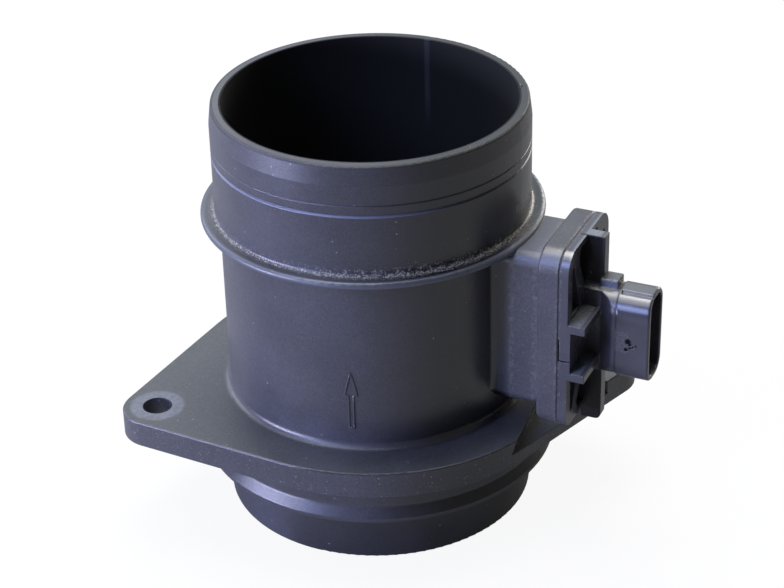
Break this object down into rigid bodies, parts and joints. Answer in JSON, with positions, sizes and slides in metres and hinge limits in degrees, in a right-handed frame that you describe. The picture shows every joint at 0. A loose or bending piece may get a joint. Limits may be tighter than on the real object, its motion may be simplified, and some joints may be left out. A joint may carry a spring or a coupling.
{
  "type": "mass airflow sensor",
  "caption": "Moulded duct with a bolt-on flange, a collared hose end, an inlet grille and a plug-in measuring finger whose electrical connector stands out at the side.",
  "frame": {"origin": "on the duct's axis, in the plane of the mounting flange's lower face", "axes": "+Z along the duct towards the hose end, +X towards the electrical connector, +Y to the left of someone who stands at the connector and looks at the duct"},
  "size_m": [0.1338, 0.105, 0.1152],
  "materials": {
    "housing": "satin black glass-filled plastic",
    "grille": "satin",
    "sensor_body": "satin black glass-filled plastic",
    "seal": "matt",
    "cover": "satin",
    "base_plate": "rolled",
    "ceramic": "fired ceramic",
    "chip": "matt",
    "capacitor": "fired ceramic",
    "gel": "clear soft gel",
    "carrier": "rolled",
    "element": "polished silicon",
    "wire": "drawn",
    "bead": "glass coated",
    "lead": "tinned",
    "pin": "tin plated"
  },
  "bodies": {
    "root": {"tube_housing": "housing", "flow_grille": "grille", "sensor_body": "sensor_body", "sensor_seal_ring": "seal", "bypass_cover": "cover", "electronics_cover": "cover", "base_plate": "base_plate", "circuit_board": "ceramic", "control_chip": "chip", "chip_capacitors": "capacitor", "protective_gel": "gel", "element_carrier": "carrier", "sensing_element": "element", "bond_wires": "wire", "air_temperature_sensor": "bead", "temperature_leads": "lead", "terminal_pin_1": "pin", "terminal_pin_2": "pin", "terminal_pin_3": "pin", "terminal_pin_4": "pin", "terminal_pin_5": "pin"}
  },
  "joints": []
}
